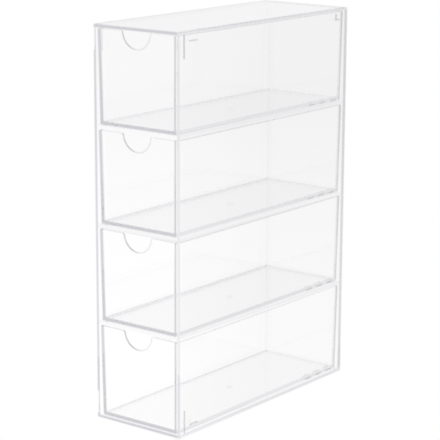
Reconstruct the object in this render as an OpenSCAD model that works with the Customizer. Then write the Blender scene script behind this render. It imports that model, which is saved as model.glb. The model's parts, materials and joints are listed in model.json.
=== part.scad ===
// Clear acrylic tower of four pull-out drawers for folded sunglasses.
// The case is welded from flat panels, and each drawer is one open-topped moulding.
// Sizes are in millimetres. X runs across the width, the open front faces -Y and +Z is up.
// The origin is the middle of the underside.

/* [Case] */
// Width of the case, over its side panels
case_w = 67; // [56:0.5:120]
// Depth of the case, from its open front to its rear face
case_d = 175; // [110:1:300]
// Height of the case
case_h = 250; // [160:1:400]
// Thickness of the side, top, bottom and rear panels
panel_t = 1.8; // [1.2:0.1:5]
// Thickness of the shelves between the drawers
shelf_t = 2.5; // [1.5:0.1:5]

/* [Drawers] */
// Thickness of a drawer's side and rear walls
wall_t = 1.8; // [1:0.1:4]
// Thickness of a drawer's front wall
front_t = 1.3; // [0.8:0.1:5]
// Thickness of a drawer's floor
floor_t = 1.8; // [1:0.1:4]
// How far each wall leans in from the rim down to the underside, so that the drawer leaves its mould
draft = 0.8; // [0:0.1:2]

/* [Clearances] */
// Gap between a drawer's rim and the side panel, on each side
side_gap = 1.2; // [0.3:0.1:2]
// Running gap under a drawer
base_gap = 0.2; // [0.1:0.05:0.8]
// Gap between a drawer's rim and the panel or shelf above it
top_gap = 0.6; // [0.3:0.1:3]
// Gap between a closed drawer's rim and the rear panel
rear_gap = 0.3; // [0.2:0.1:5]
// How far a closed drawer's rim stands back from the case's front
front_set = 0.2; // [0:0.1:2]

/* [Finger notch] */
// Radius of the notch in each drawer's front wall
notch_r = 10.5; // [6:0.5:14]
// Radius of the rounded shoulders where the notch meets the rim
shoulder_r = 1.5; // [0.5:0.1:4]

/* [Corner grooves] */
// Distance of each groove from the case's front
groove_set = 4.7; // [3:0.1:20]
// Length of a groove, from the top or bottom panel
groove_len = 14.5; // [5:0.5:25]
// Width of a groove
groove_w = 1; // [0.4:0.1:2]
// Depth of a groove in the side panel's inner face
groove_depth = 0.5; // [0.2:0.1:1]

/* [Hidden] */

$fn = 64;
case_clear = [0.90, 0.91, 0.95, 0.35];
drawer_clear = [0.94, 0.94, 0.97, 0.35];

// How far a cutting shape reaches past the faces that it cuts
over = 1;

bays = 4;
inner_w = case_w - 2 * panel_t;
front_y = -case_d / 2;
rear_panel_y = case_d / 2 - panel_t;
bay_h = (case_h - 2 * panel_t - (bays - 1) * shelf_t) / bays;

drawer_w = inner_w - 2 * side_gap;
drawer_h = bay_h - base_gap - top_gap;
rim_front_y = front_y + front_set;
rim_rear_y = rear_panel_y - rear_gap;

// Sideways place of a shoulder's centre: its arc touches both the rim and the notch
shoulder_x = sqrt(pow(notch_r + shoulder_r, 2) - pow(shoulder_r, 2));

// Height of the panel or shelf face that a drawer runs on, counting bays from the bottom
function bay_floor(level) = panel_t + level * (bay_h + shelf_t);

// How far a wall stands in from its rim at a height above the drawer's underside
function lean(z) = draft * (1 - z / drawer_h);

// A flat panel that fills the width between the side panels
module cross_panel(y0, y1, z0, z1) {
    color(case_clear)
        translate([-inner_w / 2, y0, z0])
            cube([inner_w, y1 - y0, z1 - z0]);
}

// A side panel on the +X side, with a short groove near each front corner of its inner face
module side_panel() {
    color(case_clear)
        difference() {
            translate([inner_w / 2, front_y, 0])
                cube([panel_t, case_d, case_h]);
            for (z = [panel_t, case_h - panel_t - groove_len])
                translate([inner_w / 2 - over, front_y + groove_set, z])
                    cube([groove_depth + over, groove_w, groove_len]);
        }
}

// A shelf that closes the top of the bay at a level
module shelf(level) {
    cross_panel(front_y, rear_panel_y, bay_floor(level) + bay_h, bay_floor(level + 1));
}

// A block between two heights whose walls lean like the drawer's, set in from the drawer's own outside
module leaning_block(side_in, front_in, rear_in, low, high) {
    intersection() {
        translate([0, rim_rear_y, 0])
            rotate([90, 0, 0])
                linear_extrude(rim_rear_y - rim_front_y)
                    polygon([
                        for (p = [[-1, low], [1, low], [1, high], [-1, high]])
                            [p[0] * (drawer_w / 2 - side_in - lean(p[1])), p[1]]
                    ]);
        translate([-drawer_w / 2, 0, 0])
            rotate([90, 0, 90])
                linear_extrude(drawer_w)
                    polygon([
                        [rim_front_y + front_in + lean(low), low],
                        [rim_rear_y - rear_in - lean(low), low],
                        [rim_rear_y - rear_in - lean(high), high],
                        [rim_front_y + front_in + lean(high), high]
                    ]);
    }
}

// Outline of the finger notch, drawn about the middle of the front wall's rim
module notch_outline() {
    circle(r = notch_r);
    translate([-shoulder_x, 0])
        square([2 * shoulder_x, over]);
    for (side = [-1, 1])
        difference() {
            polygon([[0, 0], [side * shoulder_x, 0], [side * shoulder_x, -shoulder_r]]);
            translate([side * shoulder_x, -shoulder_r])
                circle(r = shoulder_r);
        }
}

// The finger notch, cut through the front wall
module notch_cut() {
    cut_len = draft + front_t + 2 * over;
    translate([0, rim_front_y - over + cut_len, drawer_h])
        rotate([90, 0, 0])
            linear_extrude(cut_len)
                notch_outline();
}

// One drawer, closed in the bay at a level
module drawer(level) {
    color(drawer_clear)
        translate([0, 0, bay_floor(level) + base_gap])
            difference() {
                leaning_block(0, 0, 0, 0, drawer_h);
                leaning_block(wall_t, front_t, wall_t, floor_t, drawer_h + over);
                notch_cut();
            }
}

module right_side_panel() side_panel();
module left_side_panel() mirror([1, 0, 0]) side_panel();
module top_panel() cross_panel(front_y, case_d / 2, case_h - panel_t, case_h);
module bottom_panel() cross_panel(front_y, case_d / 2, 0, panel_t);
module rear_panel() cross_panel(rear_panel_y, case_d / 2, panel_t, case_h - panel_t);
module upper_shelf() shelf(2);
module middle_shelf() shelf(1);
module lower_shelf() shelf(0);
module top_drawer() drawer(3);
module second_drawer() drawer(2);
module third_drawer() drawer(1);
module bottom_drawer() drawer(0);

left_side_panel();
right_side_panel();
top_panel();
bottom_panel();
rear_panel();
upper_shelf();
middle_shelf();
lower_shelf();
top_drawer();
second_drawer();
third_drawer();
bottom_drawer();
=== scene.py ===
"""Looks of a clear acrylic sunglasses organizer: a case of flat sheets and four moulded drawers."""
import json
import math

import bmesh
import bpy
import numpy as np
from mathutils import Matrix, Vector


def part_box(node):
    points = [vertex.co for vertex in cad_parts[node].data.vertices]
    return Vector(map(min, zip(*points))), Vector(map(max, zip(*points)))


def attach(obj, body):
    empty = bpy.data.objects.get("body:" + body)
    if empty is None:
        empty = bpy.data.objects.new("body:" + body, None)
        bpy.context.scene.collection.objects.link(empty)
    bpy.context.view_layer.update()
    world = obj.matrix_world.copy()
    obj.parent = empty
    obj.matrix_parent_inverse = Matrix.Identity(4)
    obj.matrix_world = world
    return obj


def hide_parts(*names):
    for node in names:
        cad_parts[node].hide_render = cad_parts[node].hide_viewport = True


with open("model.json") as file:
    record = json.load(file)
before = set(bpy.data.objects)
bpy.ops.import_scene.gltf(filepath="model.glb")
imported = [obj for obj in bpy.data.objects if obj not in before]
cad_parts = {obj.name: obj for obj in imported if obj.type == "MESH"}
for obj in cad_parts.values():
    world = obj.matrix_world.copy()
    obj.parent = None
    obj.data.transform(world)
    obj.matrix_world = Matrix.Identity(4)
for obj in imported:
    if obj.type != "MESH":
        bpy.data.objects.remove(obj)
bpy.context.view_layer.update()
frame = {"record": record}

MM = 0.001

# Case: outer edges, and the film of air at an end that butts against another panel
CASE_EDGE_R = 0.05 * MM
CASE_EDGE_STEPS = 2
ROUND_PROFILE = 0.5
AIR_FILM = 0.03 * MM

# How near two places are to count as one, and how squarely a face looks along an axis to count as facing it
TOUCH = 0.02 * MM
SQUARE_ON = 0.9

# Case: grooves near the front corners of the side panels' inner faces, and the near panel's ticks and hook
GROOVE_SET = 4.7 * MM
GROOVE_LEN = 14.5 * MM
GROOVE_W = 1.0 * MM
GROOVE_DEPTH = 0.5 * MM
GROOVE_SLOPE = 0.2 * MM
TICK_SET = 10.0 * MM
TICK_LEN = 8.0 * MM
TICK_W = 0.7 * MM
TICK_DROP = 4.0 * MM
HOOK_REAR = 12.5 * MM
HOOK_LEN = 4.5 * MM
HOOK_DROP = 1.5 * MM
HOOK_W = 1.2 * MM
FOOT_LEN = 4.0 * MM

# Drawers: walls, floor, lean and finger notch, as in the part's source
WALL_T = 1.8 * MM
FRONT_T = 1.3 * MM
FLOOR_T = 1.8 * MM
DRAFT = 0.8 * MM
NOTCH_R = 10.5 * MM
SHOULDER_R = 1.5 * MM

# Drawers: moulded edges
OUTER_CORNER_R = 0.3 * MM
INNER_CORNER_R = 0.5 * MM
UNDER_EDGE_R = 0.3 * MM
FLOOR_FILLET_R = 1.0 * MM
RIM_EDGE_R = 0.6 * MM
EDGE_STEPS = 4
CORNER_STEPS = 8
MERGE_GAP = 0.001 * MM

# Drawers: points along the notch, the plan's side that it is cut in, and the least share of marked points
# that makes a face part of it
NOTCH_POINTS = 57
FRONT_SIDE = 2
WHOLE_FACE = 0.9

# Drawers: gate mark under the floor, and three short marks near its rear right corner
GATE_R = 2.0 * MM
GATE_DEPTH = 0.2 * MM
GATE_SET = 4.2 * MM
GATE_POINTS = 32
MARK_COUNT = 3
MARK_PITCH = 12.0 * MM
MARK_LEN = 6.5 * MM
MARK_W = 1.4 * MM
MARK_DEPTH = 0.5 * MM
MARK_EDGE = 3.4 * MM
MARK_REAR = 6.2 * MM

# Sharpest turn between faces that still shade as one round
ROUND_TURN = 35.0

# Acrylic: clear faces, and the light that the sheets lose along their length
ACRYLIC_IOR = 1.49
ABSORBED = (0.5, 0.5, 0.56, 1)
# The near panel's density is lower than the other panels': a lighter copy of the same acrylic, which is
# painted light.
CASE_DENSITY, NEAR_DENSITY, REAR_DENSITY = 3.8, 1.7, 10.0
SHELF_DENSITY, DRAWER_DENSITY = 0.6, 4.2
CASE_CLEAR = (0.995, 0.995, 0.995, 1)
# The near panel's two tints below are painted shade: the same sheet greyer towards its rear and palest at
# its front edge.
NEAR_CLEAR_FRONT = (0.975, 0.975, 0.976, 1)
NEAR_CLEAR_REAR = (0.945, 0.945, 0.946, 1)
NEAR_PALE_LEN = 70.0 * MM
DRAWER_CLEAR = (1, 0.999, 0.999, 1)

# Acrylic: frosted marks, how strong each is, painted shade at the drawers' rear wall ends, and faint
# waviness and haze
GROOVE_TINT = (0.35, 0.35, 0.36, 1)
# The drawers' mark tint is also the colour of the painted shade on their rear wall ends.
MARK_AND_SHADE_TINT = (0.33, 0.33, 0.34, 1)
MARK_ROUGH = 0.15
GROOVE_FROST, TICK_FROST, HOOK_FROST, FOOT_FROST = 1.0, 0.45, 1.0, 0.45
# The last strength on the next line, and the facing below it, paint shade on the thick end of a drawer's
# rear wall where it is seen end on. No mark is there.
GATE_FROST, MARK_FROST, NOTCH_FROST, END_PAINTED_SHADE = 0.4, 0.85, 0.4, 1.0
END_FACING = 0.3
SHEET_RIPPLES, SHEET_RIPPLE_H = 18.0, 0.02 * MM
TRAY_RIPPLES, TRAY_RIPPLE_H = 30.0, 0.05 * MM
RIPPLE_DETAIL = 1.0
HAZE = 0.003
SCUFF_SCALE, SCUFF_DETAIL = 160.0, 3.0

# Sawn shelf fronts
SAWN_SHELVES = ("upper_shelf", "lower_shelf")
SAW_STRETCH = (1.0, 1.0, 8.0)
SAW_SCALE, SAW_DETAIL = 300.0, 2.0
SAWN_WHITE = (0.96, 1.0)
SAWN_ROUGH = (0.5, 0.7)

# Table and light
TABLE_R, TABLE_SIDES = 12.0, 64
TABLE_DROP = 0.05 * MM
TABLE_NEAR, TABLE_FAR = 1.045, 0.965
TABLE_NEAR_R, TABLE_FAR_R = 0.1, 1.1
HORIZON = (0.895, 0.893, 0.91, 1)
ZENITH = (0.98, 0.98, 0.985, 1)
LIGHT_BOUNCES = 200
SOFT_PIXELS = 2.2

# The photograph's camera, found from the case's corners
VIEW_AZIMUTH = 37.76
VIEW_ELEVATION = 13.07
VIEW_ROLL = 0.24
VIEW_DISTANCE = 1.1529
VIEW_TARGET = Vector((-0.00386, 0.0, 0.11674))
FOCAL_PIXELS = 1775.5
FRAME_PIXELS = 440
SENSOR_W = 36.0
CLIP_NEAR, CLIP_FAR = 0.05, 100.0

PANELS = frame["record"]["behaviour"]["bodies"]["case"]
DRAWERS = [n for n in frame["record"]["behaviour"]["bodies"] if n != "case"]


def corner_pair(node):
    low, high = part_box(node)
    return np.array(low, float), np.array(high, float)


BOXES = {name: corner_pair(name) for name in PANELS + DRAWERS}
CASE_LOW = np.min([BOXES[n][0] for n in PANELS], axis=0)
CASE_HIGH = np.max([BOXES[n][1] for n in PANELS], axis=0)
REAR_WALL_Y = max(BOXES[n][1][1] for n in DRAWERS) - WALL_T


class Wiring:
    """Short ways to add nodes to a tree and join them."""

    def __init__(self, tree):
        self.tree = tree

    def node(self, kind, **settings):
        made = self.tree.nodes.new(kind)
        for name, value in settings.items():
            setattr(made, name, value)
        return made

    def feed(self, socket, value):
        if isinstance(value, bpy.types.NodeSocket):
            self.tree.links.new(value, socket)
        else:
            socket.default_value = value

    def put(self, kind, inputs, **settings):
        """A node whose named inputs are fed; gives its first output."""
        made = self.node(kind, **settings)
        for name, value in inputs.items():
            self.feed(made.inputs[name], value)
        return made.outputs[0]

    def math(self, operation, *values):
        made = self.node("ShaderNodeMath", operation=operation)
        for socket, value in zip(made.inputs, values):
            self.feed(socket, value)
        return made.outputs[0]

    def blend(self, share, first, second):
        """A colour between two colours."""
        made = self.node("ShaderNodeMix", data_type="RGBA")
        for name, value in {"Factor": share, "A": first, "B": second}.items():
            self.feed(made.inputs[name], value)
        return made.outputs["Result"]

    def vector(self, x, y, z):
        return self.put("ShaderNodeCombineXYZ", {"X": x, "Y": y, "Z": z})

    def split(self, vector):
        made = self.node("ShaderNodeSeparateXYZ")
        self.feed(made.inputs[0], vector)
        return made.outputs["X"], made.outputs["Y"], made.outputs["Z"]

    def place(self, kind="Object"):
        return self.node("ShaderNodeTexCoord").outputs[kind]


def add_socket(tree, name, way, kind):
    tree.interface.new_socket(name=name, in_out=way, socket_type=kind)


def plain_mesh(piece):
    """Turn a piece with modifiers into a plain mesh."""
    bpy.context.view_layer.update()
    shown = piece.evaluated_get(bpy.context.evaluated_depsgraph_get())
    mesh = bpy.data.meshes.new_from_object(shown)
    piece.modifiers.clear()
    piece.data = mesh


def shade_edges(piece):
    """Rounded edges shade smoothly while the flat faces stay flat."""
    bm = bmesh.new()
    bm.from_mesh(piece.data)
    bmesh.ops.recalc_face_normals(bm, faces=bm.faces[:])
    bm.to_mesh(piece.data)
    bm.free()
    piece.data.shade_smooth()
    piece.data.set_sharp_from_angle(angle=math.radians(ROUND_TURN))
    weight = piece.modifiers.new("flat_faces", "WEIGHTED_NORMAL")
    weight.keep_sharp = True
    plain_mesh(piece)


def new_object(name, data):
    made = bpy.data.objects.new(name, data)
    bpy.context.scene.collection.objects.link(made)
    return made


def hand_over(piece, body, node):
    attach(piece, body)
    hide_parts(node)


# Case panels
def sheet_corners(name):
    """A panel's low and high corners, with a film of air at each end that butts against another panel."""
    low, high = BOXES[name]
    along = np.arange(3) != np.argmin(high - low)
    low = low + AIR_FILM * (along & (low > CASE_LOW + TOUCH))
    high = high - AIR_FILM * (along & (high < CASE_HIGH - TOUCH))
    return low, high


def score_boxes(name):
    """Low and high corners of the scores in a side panel's inner face, and how frosted each is."""
    if "side" not in name:
        return []
    low, high = BOXES[name]
    near = low[0] > 0
    inner_x = low[0] if near else high[0]
    made = []

    def score(face, way, y, length, drop, height, frost):
        ends = sorted((face + way * drop, face + way * (drop + height)))
        made.append((np.array([inner_x, y, ends[0]]), np.array([inner_x, y + length, ends[1]]), frost))

    top, bottom = (BOXES["top_panel"][0][2], -1), (BOXES["bottom_panel"][1][2], 1)
    for face, way in (top, bottom):
        score(face, way, low[1] + GROOVE_SET, GROOVE_W, 0.0, GROOVE_LEN, GROOVE_FROST * near)
        if near:
            score(face, way, low[1] + TICK_SET, TICK_LEN, TICK_DROP, TICK_W, TICK_FROST)
    if near:
        score(*top, high[1] - HOOK_REAR, HOOK_W, HOOK_DROP, HOOK_LEN, HOOK_FROST)
        foot_y = high[1] - HOOK_REAR + HOOK_W
        score(*top, foot_y, FOOT_LEN, HOOK_DROP + HOOK_LEN - TICK_W, TICK_W, FOOT_FROST)
    return made


def inside(point, low, high):
    return all(low[i] - TOUCH < point[i] < high[i] + TOUCH for i in range(3))


def cut_sheet(name, scores):
    """A panel's block, cut through at the limits of its scores."""
    low, high = sheet_corners(name)
    bm = bmesh.new()
    for layer in ("mark", "sawn"):
        bm.faces.layers.float.new(layer)
    place = Matrix.Translation((low + high) / 2) @ Matrix.Diagonal((*(high - low), 1))
    bmesh.ops.create_cube(bm, size=1.0, matrix=place)
    for axis in range(3):
        cuts = {round(corner[axis], 6) for score in scores for corner in score[:2]}
        for cut in sorted(cuts):
            if low[axis] + TOUCH < cut < high[axis] - TOUCH:
                normal = Vector([float(i == axis) for i in range(3)])
                geometry = bm.verts[:] + bm.edges[:] + bm.faces[:]
                bmesh.ops.bisect_plane(bm, geom=geometry, plane_co=normal * cut, plane_no=normal)
    return bm


def outer_edges(bm):
    """Edges that lie on two outer faces of the case."""
    found = []
    for edge in bm.edges:
        planes = 0
        for i in range(3):
            for limit in (CASE_LOW[i], CASE_HIGH[i]):
                planes += all(abs(v.co[i] - limit) < TOUCH for v in edge.verts)
        if planes == 2:
            found.append(edge)
    return found


def press_scores(bm, scores):
    """Press the scores into a side panel's inner face, and mark their faces."""
    mark = bm.faces.layers.float["mark"]
    bm.normal_update()
    for low, high, frost in scores:
        cells = [face for face in bm.faces
                 if abs(face.normal.x) > SQUARE_ON and inside(face.calc_center_median(), low, high)]
        pressed = bmesh.ops.inset_region(bm, faces=cells, thickness=GROOVE_SLOPE, depth=-GROOVE_DEPTH)
        for face in cells + pressed["faces"]:
            face[mark] = frost


def mark_sawn_front(bm):
    sawn = bm.faces.layers.float["sawn"]
    bm.normal_update()
    for face in bm.faces:
        face[sawn] = float(face.normal.y < -SQUARE_ON)


def panel_sheet(name, material):
    """One panel of the case, with its outer edges eased and its scores pressed in."""
    scores = score_boxes(name)
    bm = cut_sheet(name, scores)
    bmesh.ops.bevel(bm, geom=outer_edges(bm), offset=CASE_EDGE_R, segments=CASE_EDGE_STEPS,
                    profile=ROUND_PROFILE, affect="EDGES")
    press_scores(bm, scores)
    if name in SAWN_SHELVES:
        mark_sawn_front(bm)
    mesh = bpy.data.meshes.new(name + "_sheet")
    bm.to_mesh(mesh)
    bm.free()
    mesh.materials.append(material)
    piece = new_object(name + "_sheet", mesh)
    shade_edges(piece)
    hand_over(piece, "case", name)


# Drawers
SECTION_FIELDS = ("inset", "front_inset", "corner", "level", "below_rim", "on_rim")
OUTLINE_FIELDS = ("on_notch", "notch", "inward", "corner_sign", "corner_turn")


def section_rows():
    """Points of a drawer wall's section, from the underside over the rim to the floor."""
    quarter = np.radians(np.linspace(0, 90, EDGE_STEPS + 1))
    rows = []
    for turn in quarter:
        step = UNDER_EDGE_R * (1 - math.sin(turn))
        rows.append((step, step, OUTER_CORNER_R, UNDER_EDGE_R * (1 - math.cos(turn)), 0.0, 0.0))
    for turn in quarter:
        step = RIM_EDGE_R * (1 - math.cos(turn))
        rows.append((step, step, OUTER_CORNER_R, 0.0, RIM_EDGE_R * (1 - math.sin(turn)), 1.0))
    for turn in quarter[::-1]:
        step = RIM_EDGE_R * (1 - math.cos(turn))
        below = RIM_EDGE_R * (1 - math.sin(turn))
        rows.append((WALL_T - step, FRONT_T - step, INNER_CORNER_R, 0.0, below, 1.0))
    for turn in quarter:
        step = FLOOR_FILLET_R * (1 - math.cos(turn))
        level = FLOOR_T + FLOOR_FILLET_R * (1 - math.sin(turn))
        rows.append((WALL_T + step, FRONT_T + step, INNER_CORNER_R, level, 0.0, 0.0))
    return rows


def wall_section(name):
    """The section as a line of points that carry their own measures."""
    rows = section_rows()
    count = len(rows)
    mesh = bpy.data.meshes.new(name)
    mesh.from_pydata([(i * MM, 0, 0) for i in range(count)], [(i, i + 1) for i in range(count - 1)], [])
    for k, field in enumerate(SECTION_FIELDS):
        layer = mesh.attributes.new(field, "FLOAT", "POINT")
        layer.data.foreach_set("value", [row[k] for row in rows])
    return new_object(name, mesh)


def named(w, name, kind="FLOAT"):
    return w.put("GeometryNodeInputNamedAttribute", {"Name": name}, data_type=kind)


def store(w, geometry, name, value, kind="FLOAT", domain="POINT"):
    return w.put("GeometryNodeStoreNamedAttribute", {"Geometry": geometry, "Name": name, "Value": value},
                 data_type=kind, domain=domain)


def joined(w, *parts):
    made = w.node("GeometryNodeJoinGeometry")
    for part in parts:
        w.feed(made.inputs[0], part)
    return made.outputs[0]


def moved(w, geometry, place):
    return w.put("GeometryNodeTransform", {"Geometry": geometry, "Translation": place})


def notch_rule(w, place, size):
    """Across, drop and inward direction of each point on the finger notch, by its place along the notch."""
    radius, shoulder = size["Notch Radius"], size["Notch Shoulder"]
    reach = w.math("ADD", radius, shoulder)
    swing = w.math("ARCSINE", w.math("DIVIDE", shoulder, reach))
    turn = w.math("SUBTRACT", math.pi / 2, swing)
    centre = w.math("MULTIPLY", reach, w.math("COSINE", swing))
    along = w.math("DIVIDE", place, w.math("SUBTRACT", size["Notch Points"], 1.0))
    side = w.math("MULTIPLY_ADD", along, 2.0, -1.0)
    way = w.math("SIGN", side)
    out = w.math("ABSOLUTE", side)
    bowl_share = w.math("DIVIDE", radius, reach)
    on_bowl = w.math("LESS_THAN", out, bowl_share)
    bowl_turn = w.math("MULTIPLY", turn, w.math("DIVIDE", out, bowl_share))
    past = w.math("DIVIDE", w.math("SUBTRACT", out, bowl_share), w.math("SUBTRACT", 1.0, bowl_share))
    lip_turn = w.math("ADD", swing, w.math("MULTIPLY", turn, past))

    def pick(bowl, lip):
        lip_part = w.math("MULTIPLY", w.math("SUBTRACT", 1.0, on_bowl), lip)
        return w.math("ADD", w.math("MULTIPLY", on_bowl, bowl), lip_part)

    bowl_sin, bowl_cos = w.math("SINE", bowl_turn), w.math("COSINE", bowl_turn)
    lip_sin, lip_cos = w.math("SINE", lip_turn), w.math("COSINE", lip_turn)
    across = pick(w.math("MULTIPLY", radius, bowl_sin),
                  w.math("SUBTRACT", centre, w.math("MULTIPLY", shoulder, lip_cos)))
    drop = pick(w.math("MULTIPLY", radius, bowl_cos),
                w.math("SUBTRACT", shoulder, w.math("MULTIPLY", shoulder, lip_sin)))
    inward_x = w.math("MULTIPLY", way, pick(bowl_sin, lip_cos))
    inward_z = w.math("SUBTRACT", 0.0, pick(bowl_cos, lip_sin))
    return w.math("MULTIPLY", way, across), drop, inward_x, inward_z


def notched_rectangle(w, size):
    """The drawer's plan as a rectangle, with the notch's points on its front side."""
    sides = {"Width": size["Width"], "Height": size["Depth"]}
    plan = w.put("GeometryNodeCurvePrimitiveQuadrilateral", sides, mode="RECTANGLE")
    front_side = w.math("COMPARE", w.node("GeometryNodeInputIndex").outputs[0], FRONT_SIDE, 0.5)
    cuts = w.math("MULTIPLY", front_side, size["Notch Points"])
    plan = w.put("GeometryNodeSubdivideCurve", {"Curve": plan, "Cuts": cuts})
    index = w.node("GeometryNodeInputIndex").outputs[0]
    place = w.math("SUBTRACT", index, FRONT_SIDE + 1.0)
    after_start = w.math("GREATER_THAN", place, -0.5)
    before_end = w.math("LESS_THAN", place, w.math("SUBTRACT", size["Notch Points"], 0.5))
    on_notch = w.math("MULTIPLY", after_start, before_end)
    across, drop, inward_x, inward_z = notch_rule(w, place, size)
    level_rim = w.math("SUBTRACT", 1.0, on_notch)
    notch = w.vector(w.math("MULTIPLY", on_notch, across), 0.0, w.math("MULTIPLY", on_notch, drop))
    down = w.math("SUBTRACT", w.math("MULTIPLY", on_notch, inward_z), level_rim)
    inward = w.vector(w.math("MULTIPLY", on_notch, inward_x), 0.0, down)
    plan = store(w, plan, "on_notch", on_notch)
    plan = store(w, plan, "notch", notch, "FLOAT_VECTOR")
    return store(w, plan, "inward", inward, "FLOAT_VECTOR")


def plan_outline(w, size):
    """The notched plan with rounded corners, each point knowing its corner and its turn about it."""
    plan = notched_rectangle(w, size)
    at_corner = w.math("SUBTRACT", 1.0, named(w, "on_notch"))
    radius = w.math("MULTIPLY", size["Corner"], at_corner)
    plan = w.put("GeometryNodeFilletCurve", {"Curve": plan, "Count": CORNER_STEPS, "Radius": radius},
                 mode="POLY")
    x, y, _ = w.split(w.node("GeometryNodeInputPosition").outputs[0])
    sign_x = w.math("MULTIPLY", at_corner, w.math("SIGN", x))
    sign_y = w.math("SIGN", y)

    def turn_part(value, sign, span):
        room = w.math("SUBTRACT", w.math("DIVIDE", span, 2.0), size["Corner"])
        return w.math("DIVIDE", w.math("SUBTRACT", value, w.math("MULTIPLY", sign, room)), size["Corner"])

    turn_x = w.math("MULTIPLY", at_corner, turn_part(x, sign_x, size["Width"]))
    turn_y = turn_part(y, sign_y, size["Depth"])
    plan = store(w, plan, "corner_sign", w.vector(sign_x, sign_y, 0.0), "FLOAT_VECTOR")
    return store(w, plan, "corner_turn", w.vector(turn_x, turn_y, 0.0), "FLOAT_VECTOR")


def wall_rule(w, size):
    """Where each point of the swept wall stands: set in, leaning, and cut down at the notch."""
    across, _, drop = w.split(named(w, "notch", "FLOAT_VECTOR"))
    inward_x, _, inward_z = w.split(named(w, "inward", "FLOAT_VECTOR"))
    sign_x, sign_y, _ = w.split(named(w, "corner_sign", "FLOAT_VECTOR"))
    turn_x, turn_y, _ = w.split(named(w, "corner_turn", "FLOAT_VECTOR"))
    on_rim, below, corner = named(w, "on_rim"), named(w, "below_rim"), named(w, "corner")
    rim_z = w.math("ADD", w.math("SUBTRACT", size["Height"], drop), w.math("MULTIPLY", inward_z, below))
    low_z = w.math("MULTIPLY", w.math("SUBTRACT", 1.0, on_rim), named(w, "level"))
    z = w.math("ADD", low_z, w.math("MULTIPLY", on_rim, rim_z))
    lean = w.math("MULTIPLY", size["Draft"], w.math("SUBTRACT", 1.0, w.math("DIVIDE", z, size["Height"])))
    inset = named(w, "inset")
    extra = w.math("SUBTRACT", named(w, "front_inset"), inset)
    inset_y = w.math("ADD", inset, w.math("MULTIPLY", w.math("LESS_THAN", sign_y, 0.0), extra))

    def stand(sign, turn, span, set_in):
        taken = w.math("ADD", w.math("ADD", set_in, lean), corner)
        room = w.math("SUBTRACT", w.math("DIVIDE", span, 2.0), taken)
        return w.math("ADD", w.math("MULTIPLY", sign, room), w.math("MULTIPLY", corner, turn))

    rim_shift = w.math("MULTIPLY", inward_x, w.math("MULTIPLY", on_rim, below))
    x = w.math("ADD", stand(sign_x, turn_x, size["Width"], inset), w.math("ADD", across, rim_shift))
    return w.vector(x, stand(sign_y, turn_y, size["Depth"], inset_y), z)


def open_loop(w, wall, compare):
    """One open end of the swept wall, picked by its height, as a curve."""
    faces = w.node("GeometryNodeInputMeshEdgeNeighbors").outputs["Face Count"]
    _, _, z = w.split(w.node("GeometryNodeInputPosition").outputs[0])
    chosen = w.math("MULTIPLY", w.math("COMPARE", faces, 1.0, 0.5), w.math(compare, z, FLOOR_T / 2))
    return w.put("GeometryNodeMeshToCurve", {"Mesh": wall, "Selection": chosen})


def gate_mark(w, size):
    """The gate's mouth as a curve, and its shallow sloping recess."""
    radius, depth = size["Gate Radius"], size["Gate Depth"]
    narrow = w.math("SUBTRACT", radius, depth)
    mouth = w.put("GeometryNodeCurvePrimitiveCircle", {"Resolution": GATE_POINTS, "Radius": radius})
    slope = w.put("GeometryNodeMeshCone", {"Vertices": GATE_POINTS, "Radius Top": narrow,
                                           "Radius Bottom": radius, "Depth": depth}, fill_type="NONE")
    roof = w.put("GeometryNodeMeshCircle", {"Vertices": GATE_POINTS, "Radius": narrow}, fill_type="NGON")
    recess = joined(w, slope, moved(w, roof, w.vector(0.0, 0.0, depth)))
    recess = store(w, recess, "mark", GATE_FROST, domain="FACE")
    place = (0.0, GATE_SET, 0.0)
    return moved(w, mouth, place), moved(w, recess, place)


def rear_marks(w, size):
    """The mouths of the row of short marks near the rear right corner, and their recesses."""
    side = w.math("SUBTRACT", w.math("DIVIDE", size["Width"], 2.0), w.math("ADD", size["Draft"], MARK_EDGE))
    x = w.math("SUBTRACT", side, MARK_W / 2)
    y = w.math("SUBTRACT", w.math("DIVIDE", size["Depth"], 2.0), MARK_REAR)
    row = w.put("GeometryNodeMeshLine", {"Count": MARK_COUNT, "Start Location": w.vector(x, y, 0.0),
                                         "Offset": (0.0, -MARK_PITCH, 0.0)}, mode="OFFSET")
    mouth = w.put("GeometryNodeCurvePrimitiveQuadrilateral", {"Width": MARK_W, "Height": MARK_LEN},
                  mode="RECTANGLE")
    block = w.put("GeometryNodeMeshCube", {"Size": (MARK_W, MARK_LEN, MARK_DEPTH)})
    block = moved(w, block, (0.0, 0.0, MARK_DEPTH / 2))
    _, _, facing = w.split(w.node("GeometryNodeInputNormal").outputs[0])
    open_side = w.math("LESS_THAN", facing, -SQUARE_ON)
    block = w.put("GeometryNodeDeleteGeometry", {"Geometry": block, "Selection": open_side}, domain="FACE")
    block = store(w, block, "mark", MARK_FROST, domain="FACE")
    made = []
    for shape in (mouth, block):
        copies = w.put("GeometryNodeInstanceOnPoints", {"Points": row, "Instance": shape})
        made.append(w.put("GeometryNodeRealizeInstances", {"Geometry": copies}))
    return made


def floor_faces(w, wall, size):
    """The floor, and the underside with its marks."""
    top = w.put("GeometryNodeFillCurve", {"Curve": open_loop(w, wall, "GREATER_THAN")}, mode="NGONS")
    top = moved(w, top, w.vector(0.0, 0.0, size["Floor"]))
    gate_mouth, gate = gate_mark(w, size)
    mark_mouths, marks = rear_marks(w, size)
    rings = joined(w, open_loop(w, wall, "LESS_THAN"), gate_mouth, mark_mouths)
    under = w.put("GeometryNodeFillCurve", {"Curve": rings}, mode="TRIANGLES")
    return joined(w, top, under, gate, marks)


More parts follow.
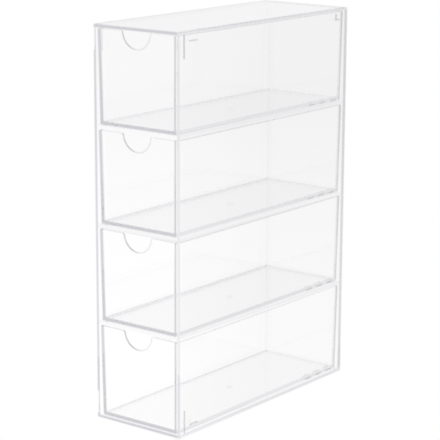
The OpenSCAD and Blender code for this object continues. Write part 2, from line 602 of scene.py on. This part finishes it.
def frosted_notch(w, wall):
    """The wall with the cut face of its notch marked as frosted."""
    in_notch = [w.math("GREATER_THAN", named(w, name), WHOLE_FACE) for name in ("on_notch", "on_rim")]
    frost = w.math("MULTIPLY", w.math("MULTIPLY", *in_notch), NOTCH_FROST)
    return store(w, wall, "mark", frost, domain="FACE")


DRAWER_SIZES = {"Floor": FLOOR_T, "Draft": DRAFT, "Corner": OUTER_CORNER_R, "Notch Radius": NOTCH_R,
                "Notch Shoulder": SHOULDER_R, "Gate Radius": GATE_R, "Gate Depth": GATE_DEPTH}


def drawer_tree():
    """Sweeps the wall's section round the drawer's plan, then closes it with a floor."""
    tree = bpy.data.node_groups.new("moulded_drawer", "GeometryNodeTree")
    add_socket(tree, "Section", "INPUT", "NodeSocketGeometry")
    for name in ("Width", "Depth", "Height", *DRAWER_SIZES):
        add_socket(tree, name, "INPUT", "NodeSocketFloat")
    add_socket(tree, "Notch Points", "INPUT", "NodeSocketInt")
    add_socket(tree, "Place", "INPUT", "NodeSocketVector")
    add_socket(tree, "Acrylic", "INPUT", "NodeSocketMaterial")
    add_socket(tree, "Drawer", "OUTPUT", "NodeSocketGeometry")
    w = Wiring(tree)
    size = w.node("NodeGroupInput").outputs
    section = w.put("GeometryNodeMeshToCurve", {"Mesh": size["Section"]})
    wall = w.put("GeometryNodeCurveToMesh", {"Curve": plan_outline(w, size), "Profile Curve": section})
    wall = w.put("GeometryNodeSetPosition", {"Geometry": wall, "Position": wall_rule(w, size)})
    drawer = joined(w, frosted_notch(w, wall), floor_faces(w, wall, size))
    drawer = w.put("GeometryNodeMergeByDistance", {"Geometry": drawer, "Distance": MERGE_GAP})
    drawer = moved(w, drawer, size["Place"])
    drawer = w.put("GeometryNodeRealizeInstances", {"Geometry": drawer})
    drawer = w.put("GeometryNodeSetMaterial", {"Geometry": drawer, "Material": size["Acrylic"]})
    w.feed(w.node("NodeGroupOutput").inputs[0], drawer)
    return tree


def drawer_tray(node, tree, material):
    """One moulded drawer, closed in its bay."""
    low, high = BOXES[node]
    values = dict(zip(("Width", "Depth", "Height"), (float(v) for v in high - low)), **DRAWER_SIZES)
    values["Notch Points"] = NOTCH_POINTS
    values["Place"] = [(low[0] + high[0]) / 2, (low[1] + high[1]) / 2, low[2]]
    values["Acrylic"] = material
    piece = wall_section(node + "_tray")
    modifier = piece.modifiers.new("moulded_drawer", "NODES")
    modifier.node_group = tree
    for item in tree.interface.items_tree:
        if item.in_out == "INPUT" and item.name in values:
            modifier[item.identifier] = values[item.name]
    plain_mesh(piece)
    for field in SECTION_FIELDS + OUTLINE_FIELDS:
        piece.data.attributes.remove(piece.data.attributes[field])
    shade_edges(piece)
    hand_over(piece, node, node)


# Materials
def surface_group():
    """Tint, roughness and faint waviness of an acrylic face, with its frosted marks and, on the drawers,
    painted shade fed in the same way.
    """
    group = bpy.data.node_groups.new("acrylic_surface", "ShaderNodeTree")
    add_socket(group, "Place", "INPUT", "NodeSocketVector")
    add_socket(group, "Ripples", "INPUT", "NodeSocketFloat")
    add_socket(group, "Clear", "INPUT", "NodeSocketColor")
    add_socket(group, "Mark", "INPUT", "NodeSocketFloat")
    add_socket(group, "Mark Tint", "INPUT", "NodeSocketColor")
    add_socket(group, "Tint", "OUTPUT", "NodeSocketColor")
    add_socket(group, "Roughness", "OUTPUT", "NodeSocketFloat")
    add_socket(group, "Height", "OUTPUT", "NodeSocketFloat")
    w = Wiring(group)
    given = w.node("NodeGroupInput").outputs

    def noise(scale, detail):
        return w.put("ShaderNodeTexNoise", {"Vector": given["Place"], "Scale": scale, "Detail": detail})

    haze = w.math("MULTIPLY", noise(SCUFF_SCALE, SCUFF_DETAIL), HAZE)
    out = w.node("NodeGroupOutput").inputs
    w.feed(out["Tint"], w.blend(given["Mark"], given["Clear"], given["Mark Tint"]))
    w.feed(out["Roughness"], w.math("MULTIPLY_ADD", given["Mark"], MARK_ROUGH, haze))
    w.feed(out["Height"], noise(given["Ripples"], RIPPLE_DETAIL))
    return group


def face_value(w, name):
    return w.node("ShaderNodeAttribute", attribute_name=name).outputs["Fac"]


def thick_end_painted_shade(w):
    """Painted shade on the thick end of a drawer's rear wall and its corner, on the faces seen from the
    near side.
    """
    x, y, _ = w.split(w.place())
    facing, _, _ = w.split(w.place("Normal"))
    near = w.math("MULTIPLY", w.math("GREATER_THAN", facing, END_FACING), w.math("GREATER_THAN", x, 0.0))
    return w.math("MULTIPLY", near, w.math("GREATER_THAN", y, REAR_WALL_Y))


def near_painted_shade(w):
    """The near panel's tint, palest towards its front edge: painted shade that greys the sheet towards its
    rear.
    """
    _, y, _ = w.split(w.place())
    front = float(CASE_LOW[1])
    back = w.put("ShaderNodeMapRange", {"Value": y, "From Min": front, "From Max": front + NEAR_PALE_LEN})
    return w.blend(back, NEAR_CLEAR_FRONT, NEAR_CLEAR_REAR)


def clear_acrylic(name, density, clear, mark_tint, ripples, ripple_h):
    """Clear acrylic that greys the light led along its sheets; gives its nodes for finishing."""
    material = bpy.data.materials.new(name)
    material.use_nodes = True
    nodes = material.node_tree.nodes
    w = Wiring(material.node_tree)
    surface = w.node("ShaderNodeGroup", node_tree=acrylic_surface)
    w.feed(surface.inputs["Place"], w.place())
    w.feed(surface.inputs["Ripples"], ripples)
    w.feed(surface.inputs["Clear"], clear)
    w.feed(surface.inputs["Mark"], face_value(w, "mark"))
    w.feed(surface.inputs["Mark Tint"], mark_tint)
    shader = nodes["Principled BSDF"]
    w.feed(shader.inputs["Base Color"], surface.outputs["Tint"])
    w.feed(shader.inputs["Roughness"], surface.outputs["Roughness"])
    bump = w.put("ShaderNodeBump", {"Distance": ripple_h, "Height": surface.outputs["Height"]})
    w.feed(shader.inputs["Normal"], bump)
    shader.inputs["Transmission Weight"].default_value = 1.0
    shader.inputs["IOR"].default_value = ACRYLIC_IOR
    absorb = w.put("ShaderNodeVolumeAbsorption", {"Color": ABSORBED, "Density": density})
    w.feed(nodes["Material Output"].inputs["Volume"], absorb)
    return material, w, surface, shader


def sheet_acrylic(name, density):
    return clear_acrylic(name, density, CASE_CLEAR, GROOVE_TINT, SHEET_RIPPLES, SHEET_RIPPLE_H)


# The near panel: a lighter copy of the case acrylic, with painted shade greying it towards the rear.
def near_sheet_acrylic():
    material, w, surface, _ = sheet_acrylic("near_sheet_acrylic", NEAR_DENSITY)
    w.feed(surface.inputs["Clear"], near_painted_shade(w))
    return material


def shelf_acrylic():
    """Shelf sheet, whose sawn fronts look matt and white from outside, and clear through the sheet."""
    material, w, _, shader = sheet_acrylic("shelf_sheet_acrylic", SHELF_DENSITY)
    stretch = w.put("ShaderNodeMapping", {"Vector": w.place(), "Scale": SAW_STRETCH})
    cut = w.put("ShaderNodeTexNoise", {"Vector": stretch, "Scale": SAW_SCALE, "Detail": SAW_DETAIL})
    white = w.put("ShaderNodeMapRange", {"Value": cut, "To Min": SAWN_WHITE[0], "To Max": SAWN_WHITE[1]})
    rough = w.put("ShaderNodeMapRange", {"Value": cut, "To Min": SAWN_ROUGH[0], "To Max": SAWN_ROUGH[1]})
    matt = w.put("ShaderNodeBsdfPrincipled", {"Base Color": white, "Roughness": rough})
    outside = w.math("SUBTRACT", 1.0, w.node("ShaderNodeNewGeometry").outputs["Backfacing"])
    share = w.math("MULTIPLY", face_value(w, "sawn"), outside)
    mix = w.node("ShaderNodeMixShader")
    for socket, value in zip(mix.inputs, (share, shader.outputs[0], matt)):
        w.feed(socket, value)
    w.feed(material.node_tree.nodes["Material Output"].inputs["Surface"], mix.outputs[0])
    return material


def drawer_acrylic():
    """Moulded acrylic, with painted shade making it greyer where the rear wall is seen end on."""
    material, w, surface, _ = clear_acrylic("drawer_tray_acrylic", DRAWER_DENSITY, DRAWER_CLEAR, MARK_AND_SHADE_TINT,
                                            TRAY_RIPPLES, TRAY_RIPPLE_H)
    # The frosted marks plus painted shade on the rear wall's thick end, both greyed through the mark tint.
    mark = w.math("MULTIPLY_ADD", thick_end_painted_shade(w), END_PAINTED_SHADE, face_value(w, "mark"))
    w.feed(surface.inputs["Mark"], mark)
    return material


acrylic_surface = surface_group()
case_sheet = sheet_acrylic("case_sheet_acrylic", CASE_DENSITY)[0]
panel_materials = {name: case_sheet for name in PANELS}
panel_materials["right_side_panel"] = near_sheet_acrylic()
panel_materials["rear_panel"] = sheet_acrylic("rear_sheet_acrylic", REAR_DENSITY)[0]
shelf_sheet = shelf_acrylic()
panel_materials.update({name: shelf_sheet for name in PANELS if "shelf" in name})
for panel, sheet in panel_materials.items():
    panel_sheet(panel, sheet)

tray_tree = drawer_tree()
tray_acrylic = drawer_acrylic()
for drawer in DRAWERS:
    drawer_tray(drawer, tray_tree, tray_acrylic)


# Table, light and camera
def lit_table():
    """A pale table, brightest round the object and plain white to the camera."""
    bm = bmesh.new()
    bmesh.ops.create_circle(bm, cap_ends=True, segments=TABLE_SIDES, radius=TABLE_R)
    mesh = bpy.data.meshes.new("lit_table")
    bm.to_mesh(mesh)
    bm.free()
    table = new_object("lit_table", mesh)
    table.location.z = -TABLE_DROP
    material = bpy.data.materials.new("lit_table")
    material.use_nodes = True
    tree = material.node_tree
    tree.nodes.remove(tree.nodes["Principled BSDF"])
    w = Wiring(tree)
    distance = w.node("ShaderNodeVectorMath", operation="LENGTH")
    w.feed(distance.inputs[0], w.place())
    lit = w.put("ShaderNodeMapRange", {"Value": distance.outputs["Value"],
                                       "From Min": TABLE_NEAR_R, "From Max": TABLE_FAR_R,
                                       "To Min": TABLE_NEAR, "To Max": TABLE_FAR})
    seen = w.node("ShaderNodeLightPath").outputs["Is Camera Ray"]
    strength = w.put("ShaderNodeMix", {"Factor": seen, "A": lit, "B": 1.0})
    glow = w.put("ShaderNodeEmission", {"Strength": strength})
    w.feed(tree.nodes["Material Output"].inputs["Surface"], glow)
    mesh.materials.append(material)


def studio_light():
    """Soft even light, a little greyer near the horizon than overhead."""
    world = bpy.data.worlds.new("soft_studio")
    bpy.context.scene.world = world
    world.use_nodes = True
    w = Wiring(world.node_tree)
    _, _, height = w.split(w.place("Generated"))
    sky = w.blend(w.put("ShaderNodeMapRange", {"Value": height}), HORIZON, ZENITH)
    w.feed(world.node_tree.nodes["Background"].inputs["Color"], sky)


def photo_camera():
    """The photograph's view of the case."""
    a, e, r = (math.radians(v) for v in (VIEW_AZIMUTH, VIEW_ELEVATION, VIEW_ROLL))
    back = Vector((math.sin(a) * math.cos(e), -math.cos(a) * math.cos(e), math.sin(e)))
    level = Vector((math.cos(a), math.sin(a), 0))
    upright = back.cross(level)
    right = level * math.cos(r) + upright * math.sin(r)
    up = upright * math.cos(r) - level * math.sin(r)
    data = bpy.data.cameras.new("photo_camera")
    data.sensor_width = SENSOR_W
    data.lens = FOCAL_PIXELS * SENSOR_W / FRAME_PIXELS
    data.clip_start = CLIP_NEAR
    data.clip_end = CLIP_FAR
    camera = new_object("photo_camera", data)
    turn = Matrix((right, up, back)).transposed().to_4x4()
    camera.matrix_world = Matrix.Translation(VIEW_TARGET + back * VIEW_DISTANCE) @ turn
    bpy.context.scene.camera = camera


def light_paths():
    """Light led along a sheet turns many times before it leaves."""
    scene = bpy.context.scene
    scene.view_settings.view_transform = "Standard"
    scene.cycles.filter_width = SOFT_PIXELS
    for limit in ("min_light_bounces", "max_bounces", "glossy_bounces", "transmission_bounces"):
        setattr(scene.cycles, limit, LIGHT_BOUNCES)


lit_table()
studio_light()
photo_camera()
light_paths()
